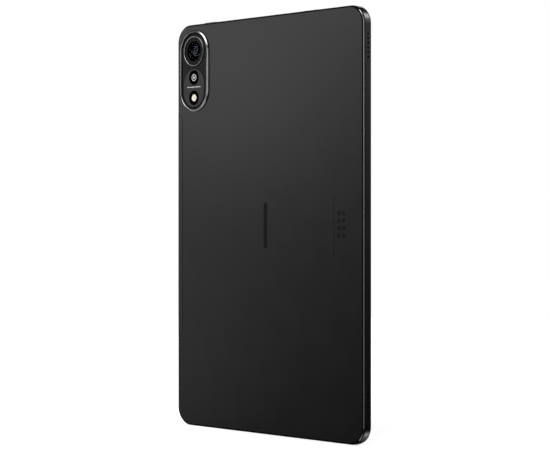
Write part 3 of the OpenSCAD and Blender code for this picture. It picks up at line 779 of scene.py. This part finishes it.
def make_back():
    build = Build()
    hole = pill(ISLAND.x, ISLAND.z, ISLAND_W + 0.14, ISLAND_H + 0.14)
    # the cover's rounded outer edge is painted black as shade in the gap beside the frame
    build.slab(panel_loop(), [hole], PANEL_Y, BACK_Y, soft=0.12, edge=1, run=COVER_BEVEL)
    panel = build.piece("back_panel", [MATERIALS["anodised_cover"], MATERIALS["painted_shade_and_baffle_black"]])
    place(panel, "anodised_cover", HOUSING, "rear_cover")
    build = Build()
    lo, hi, _ = box_mm("antenna_window")
    build.slab(strip_side(), [], lo.y, hi.y, soft=0.07)
    place(
        build.piece("radio_strip", MATERIALS["antenna_plastic"]), "antenna_plastic", HOUSING,
        "antenna_window",
    )


INK_UNDER, INK_PROUD = 0.02, 0.012  # how far a mark goes into its surface and stands out


def make_marks():
    """Plain marks where the real one has print: a slim capsule, a row of dashes and small squares."""
    y0, y1 = BACK_Y - INK_UNDER, BACK_Y + INK_PROUD
    build = Build()
    build.slab(pill(0, frame_mid.z - 0.3, 3.4, 30.6), [], y0, y1, soft=0.01, steps=2)
    place(build.piece("back_mark", MATERIALS["ink_dark"]), "black_print")
    build = Build()
    z = 118.0
    for length in (5.2, 3.1, 6.4, 2.4, 4.8, 3.6, 5.0, 2.2):
        build.slab(pill(-63.4, z + length / 2, 0.7, length, 8), [], y0, y1, soft=0.01, steps=1)
        z += length + 0.75
    for i in range(4):
        for x in (-67.9, -72.0):
            outer = rounded(x, 131.6 + 4.7 * i, 3.2, 3.2, 0.5, 4)
            build.slab(outer, [offset(outer, -0.6)], y0, y1, soft=0.01, steps=1)
    place(build.piece("rating_marks", MATERIALS["ink_faint"]), "black_print")


make_back()
make_marks()

# ---- Camera island ----


def make_rim():
    ridge, top = ISLAND_W / 2, rim_hi.y
    profile = soften(
        [
            (10.6, rim_lo.y, 0), (ridge + 0.8, rim_lo.y, 0), (ridge + 0.8, PANEL_Y, 0),
            (ridge, PANEL_Y, 0), (ridge, top - 0.5, 0.04), (ridge - 0.85, top - 0.02, 0.06),
            (ridge - 0.97, top, 0.03), (ridge - 1.3, top - 0.14, 0.03), (12.1, top - 0.4, 0.05),
            (12.1, BACK_Y + 0.1, 0), (10.6, BACK_Y + 0.1, 0),
        ],
        0.05, n=4,
    )
    # ridge faces take polished metal, the inner wall dark metal, and the outer wall black as painted shade
    bright, inner_wall, outer_wall_shade = range(3)
    walls = []
    for (r0, y0), (r1, y1) in zip(profile, profile[1:] + profile[:1]):
        ridge_face = min(y0, y1) > top - 0.56 and (r0 + r1) / 2 > ridge - 1.3
        outside = min(r0, r1) > ridge - 0.05
        walls.append(bright if ridge_face else outer_wall_shade if outside else inner_wall)
    build = Build()
    build.loft(
        [
            [(x, y, z) for x, z in pill(ISLAND.x, ISLAND.z, 2 * r, 2 * r + ISLAND_RUN)]
            for r, y in profile
        ],
        closed=True, mats=walls,
    )
    face_materials = [MATERIALS[k] for k in ("island_metal", "island_wall", "painted_shade_and_baffle_black")]
    place(build.piece("island_rim", face_materials), "island_metal", HOUSING, "camera_rim")


def disc(node):
    lo, hi, mid = box_mm(node)
    return mid.x, mid.z, (hi.x - lo.x) / 2, lo.y, hi.y


def make_island():
    make_rim()
    lens_x, lens_z, ring_r, ring_lo, ring_top = disc("lens_ring")
    sensor_x, sensor_z, window_r, win_lo, win_hi = disc("sensor_window")
    flash_x, flash_z, _, _, _ = disc("flash_window")
    lo, hi, _ = box_mm("camera_window")
    build = Build()
    build.slab(
        pill(ISLAND.x, ISLAND.z, hi.x - lo.x, hi.z - lo.z),
        [circle(lens_x, lens_z, 7.7), circle(sensor_x, sensor_z, 2.0), circle(flash_x, flash_z, 2.6)],
        lo.y, hi.y, soft=0.06,
    )
    place(
        build.piece("island_glass_plate", MATERIALS["island_glass"]), "island_glass", HOUSING,
        "camera_window",
    )

    lo, hi, mid = box_mm("camera_plateau")
    build = Build()
    build.slab(
        pill(mid.x, mid.z, hi.x - lo.x, hi.z - lo.z),
        [circle(sensor_x, sensor_z, window_r + 0.05), circle(flash_x, flash_z, window_r + 0.05)],
        lo.y, hi.y, soft=0.09,
    )
    place(
        build.piece("island_plateau", MATERIALS["plateau_metal"]), "plateau_metal", HOUSING,
        "camera_plateau",
    )

    # main lens ring, its stepped inside, and the clear cover
    glass_top = box_mm("camera_window")[1].y
    profile = soften(
        [
            (7.0, ring_lo, 0), (7.6, ring_lo, 0), (7.6, glass_top, 0), (ring_r, glass_top, 0),
            (ring_r, glass_top + 0.25), (ring_r - 0.6, ring_top - 0.08), (ring_r - 0.72, ring_top),
            (ring_r - 0.95, ring_top - 0.03), (ring_r - 1.1, ring_top - 0.14),
            (8.2, glass_top + 0.35, 0.05), (8.2, glass_top + 0.2, 0), (7.0, glass_top + 0.2, 0),
        ],
        0.05, n=4,
    )
    dark = []
    for (r0, y0), (r1, y1) in zip(profile, profile[1:] + profile[:1]):
        r = (r0 + r1) / 2
        dark.append(1 if r < ring_r - 1.1 else 2 if r > ring_r - 0.62 else 0)
    build = Build()
    revolve(build, lens_x, lens_z, profile, mats=dark)
    face_materials = [MATERIALS[k] for k in ("ring_metal", "island_wall", "plateau_metal")]
    bezel = build.piece("lens_bezel", face_materials)
    place(bezel, "ring_metal", HOUSING, "lens_ring")

    _, _, cover_r, lo_y, hi_y = disc("lens_cover")
    build = Build()
    dome = [(cover_r * k / 12, hi_y - 0.1 * (k / 12) ** 2) for k in range(1, 12)]
    profile = [
        (0.01, hi_y), *dome, (cover_r - 0.1, hi_y - 0.1), (cover_r, hi_y - 0.16),
        (cover_r, lo_y + 0.05), (cover_r - 0.05, lo_y), (0.01, lo_y),
    ]
    revolve(build, lens_x, lens_z, profile, closed=False)
    place(build.piece("lens_window", MATERIALS["lens_glass"]), "lens_glass", HOUSING, "lens_cover")

    _, _, baffle_r, lo_y, hi_y = disc("lens_baffle")
    steps = 7
    inner = []
    for k in range(steps):
        r0 = 3.6 + (6.0 - 3.6) * k / steps
        r1 = 3.6 + (6.0 - 3.6) * (k + 1) / steps
        y0 = lo_y + (hi_y - lo_y) * k / steps
        y1 = lo_y + (hi_y - lo_y) * (k + 1) / steps
        inner += [(r0, y0), (r0 + 0.05, y1 - 0.03), (r1, y1)]
    build = Build()
    revolve(build, lens_x, lens_z, inner + [(baffle_r, hi_y), (baffle_r, lo_y)])
    place(build.piece("lens_cone", MATERIALS["painted_shade_and_baffle_black"], 20), "chip_black", HOUSING, "lens_baffle")

    # the focusing barrel with its glass
    _, _, barrel_r, lo_y, hi_y = disc("lens_barrel")
    build = Build()
    profile = soften(
        [
            (3.1, lo_y, 0), (barrel_r, lo_y), (barrel_r, hi_y, 0.1), (3.2, hi_y, 0.05),
            (2.95, hi_y - 0.1, 0.03), (2.1, hi_y - 0.5, 0.03), (2.1, hi_y - 0.8, 0),
            (2.5, hi_y - 0.8, 0), (2.5, lo_y + 0.5, 0), (3.1, lo_y + 0.5, 0),
        ],
        0.05,
    )
    revolve(build, lens_x, lens_z, profile)
    barrel = build.piece("focus_barrel_shell", MATERIALS["module_black"])
    place(barrel, "module_black", "focus_barrel", "lens_barrel")
    lo, hi, _ = box_mm("lens_elements")
    build = Build()
    front_r, rear_r = 2.04, 3.05
    mid_y = (lo_y + hi_y) / 2
    elements = (
        (front_r, hi.y - 0.4, hi.y),
        (2.46, mid_y - 0.05, mid_y + 0.14),
        (rear_r, lo.y, lo.y + 0.3),
    )
    for r, y_edge, y_crown in elements:
        crown = [
            (r * (k / 10 if k else 0.005), y_edge + (y_crown - y_edge) * (1 - (k / 10) ** 2))
            for k in range(11)
        ]
        revolve(build, lens_x, lens_z, crown + [(0.01, y_edge)], closed=False, n=64)
    place(
        build.piece("focus_glass", MATERIALS["lens_coating"]), "lens_glass", "focus_barrel",
        "lens_elements",
    )

    # small windows
    build = Build()
    build.slab(circle(sensor_x, sensor_z, window_r), [], win_lo, win_hi, soft=0.08)
    place(build.piece("sensor_glass", MATERIALS["window_black"]), "window_black", HOUSING, "sensor_window")
    build = Build()
    build.slab(
        circle(sensor_x, sensor_z, 2.35), [circle(sensor_x, sensor_z, 1.8)],
        win_hi - INK_UNDER, win_hi + INK_PROUD, soft=0.01, steps=1,
    )
    dot = circle(sensor_x, sensor_z, 0.85, 48)
    build.slab(dot, [], win_hi - INK_UNDER, win_hi + INK_PROUD, soft=0.01, steps=1)
    place(build.piece("sensor_mark", MATERIALS["ink_white"]), "white_tape")
    build = Build()
    build.slab(
        circle(flash_x, flash_z, window_r), [circle(flash_x, flash_z, 2.5)], win_lo, win_hi, soft=0.08
    )
    place(build.piece("flash_glass", MATERIALS["window_black"]), "window_black", HOUSING, "flash_window")
    _, _, lamp_r, lo_y, hi_y = disc("flash_led")
    rings = [(0.01, hi_y)]
    for k in range(1, 6):
        r = lamp_r * 0.92 * k / 5.5
        rings += [(r, hi_y - 0.015 * k), (r + 0.03, hi_y - 0.05 - 0.012 * k)]
    rings += [(lamp_r - 0.08, hi_y - 0.1), (lamp_r, hi_y - 0.18), (lamp_r, lo_y), (0.01, lo_y)]
    build = Build()
    revolve(build, flash_x, flash_z, rings, closed=False, n=64)
    place(build.piece("flash_lamp", MATERIALS["led_lens"], 12), "led_lens", HOUSING, "flash_led")

    # a plain dashed line between the two windows
    top = box_mm("camera_plateau")[1].y
    build = Build()
    x, line_z, thick, space = mid.x - 6.8, 232.7, 0.62, 0.44
    for length in (1.5, 2.6, 1.1, 2.9, 1.4, 1.9):
        dash = pill(x + length / 2, line_z, length, thick, 8)
        build.slab(dash, [], top - INK_UNDER, top + INK_PROUD, soft=0.01, steps=1)
        x += length + space
    place(build.piece("island_mark", MATERIALS["ink_white"]), "white_tape")


make_island()

# ---- Screen side ----


def make_screen():
    lo, hi, _ = box_mm("cover_glass")
    inset = frame_hi.x - hi.x
    rings = []
    bevel = 0.3
    for k in range(7):
        a = math.radians(90 * k / 6)
        rings.append((inset + bevel * (1 - math.sin(a)), lo.y + bevel * (1 - math.cos(a))))
    rings.append((inset, hi.y))
    build = Build()
    build.loft([[(x, y, z) for x, z in body_loop(s, 24)] for s, y in rings])
    place(build.piece("screen_pane", MATERIALS["screen_glass"], 50), "screen_glass", HOUSING, "cover_glass")


make_screen()

# ---- Keys ----


def key(name, node, body, axis):
    """A pill-shaped key with a rounded cap, a wider flange behind it, and its press nubs."""
    lo, hi, mid = box_mm(node)
    width, depth, flange, rounding = 2.2, 2.6, 0.6, 0.2
    if axis == "x":
        length, centre, face = hi.z - lo.z - 2, mid.z, hi.x
    else:
        length, centre, face = hi.x - lo.x - 2, mid.x, hi.z

    def outline(grow):
        if axis == "x":
            return pill(0, centre, width + 2 * grow, length + 2 * grow, 20)
        return pill(centre, 0, length + 2 * grow, width + 2 * grow, 20)

    stations = [
        (face - depth - flange, 0.5), (face - depth, 0.5), (face - depth, 0.0),
        (face - rounding, 0.0),
    ]
    for k in range(1, 5):
        a = math.radians(90 * k / 4)
        stations.append((face - rounding * (1 - math.sin(a)), -rounding * (1 - math.cos(a))))
    build = Build()
    rings = []
    for at, grow in stations:
        rings.append([(at, a, b) if axis == "x" else (a, b, at) for a, b in outline(grow)])
    build.loft(rings)
    nubs = (-8.5, 8.5) if axis == "x" else (0,)
    for o in nubs:
        loop = circle(0, centre + o, 0.8, 24) if axis == "x" else circle(centre + o, 0, 0.8, 24)
        prism(build, loop, axis, [(face - 3.8, -0.1), (face - 3.7, 0), (face - 3.15, 0)])
    place(build.piece(name, MATERIALS["anodised_frame"], 40), "anodised_frame", body, node)


key("volume_key", "volume_rocker", "volume_rocker", "x")
key("power_key", "power_button", "power_button", "z")

# ---- Port ----


def make_port():
    lo, hi, mid = box_mm("usb_socket")
    shell = Build()
    wide, high, wall = 8.94, 3.16, 0.3
    profile = [
        (0.12, lo.z), (0.04, lo.z + 0.04), (0, lo.z + 0.12), (0, hi.z), (wall, hi.z),
        (wall, lo.z + 0.1), (wall - 0.06, lo.z + 0.02),
    ]
    shell.loft(
        [
            [(x, y, z) for x, y in offset(pill(mid.x, PORT_Y, wide, high, 24), -s)]
            for s, z in profile
        ],
        closed=True,
    )
    for side in (-1, 1):
        ear = rounded(side * 5.3, 6.8, 2.0, 2.0, 0.2, 4)
        shell.slab(ear, [], 0.801, 0.999, soft=0.03, steps=1)
    place(shell.piece("port_shell", MATERIALS["shield_steel"], 40), "shield_steel", HOUSING, "usb_socket")

    lo, hi, mid = box_mm("usb_tongue")
    tongue = Build()
    half_w, half_t = 3.35, 0.35
    loop = rounded(0, PORT_Y, 2 * half_w, 2 * half_t, 0.12, 4)
    tip = lo.z
    tongue.loft(
        [
            [(x, y, z) for x, y in offset(loop, -s)]
            for s, z in ((0.1, tip), (0.03, tip + 0.04), (0, tip + 0.12), (0, 6.95))
        ]
    )
    tongue.loft(
        [
            [(x, y, z) for x, y in offset(pill(0, PORT_Y, wide - 0.65, high - 0.65, 24), -s)]
            for s, z in ((0.1, 6.9), (0, 7.0), (0, 7.9))
        ]
    )
    place(tongue.piece("port_tongue", MATERIALS["chip_black"], 40), "chip_black", HOUSING, "usb_tongue")
    pins = Build()
    for side in (-1, 1):
        for k in range(12):
            x = (k - 5.5) * 0.5
            loop = rounded(x, PORT_Y + side * (half_t + 0.005), 0.26, 0.03, 0.01, 2)
            pins.loft([[(a, b, z) for a, b in loop] for z in (tip + 0.5, 6.9)])
    place(pins.piece("port_contacts", MATERIALS["contact_gold"], 40), "contact_gold")


make_port()

# softened edges on the CAD pieces that show
for name, width in (("sim_tray", 0.08), ("eject_rod", 0.05)):
    node = frame["nodes"][name]
    weld = node.modifiers.new("weld", "WELD")
    weld.merge_threshold = 1e-6
    bevel = node.modifiers.new("bevel", "BEVEL")
    bevel.width, bevel.segments = width * MM, 2
    bevel.limit_method, bevel.angle_limit = "ANGLE", math.radians(40)
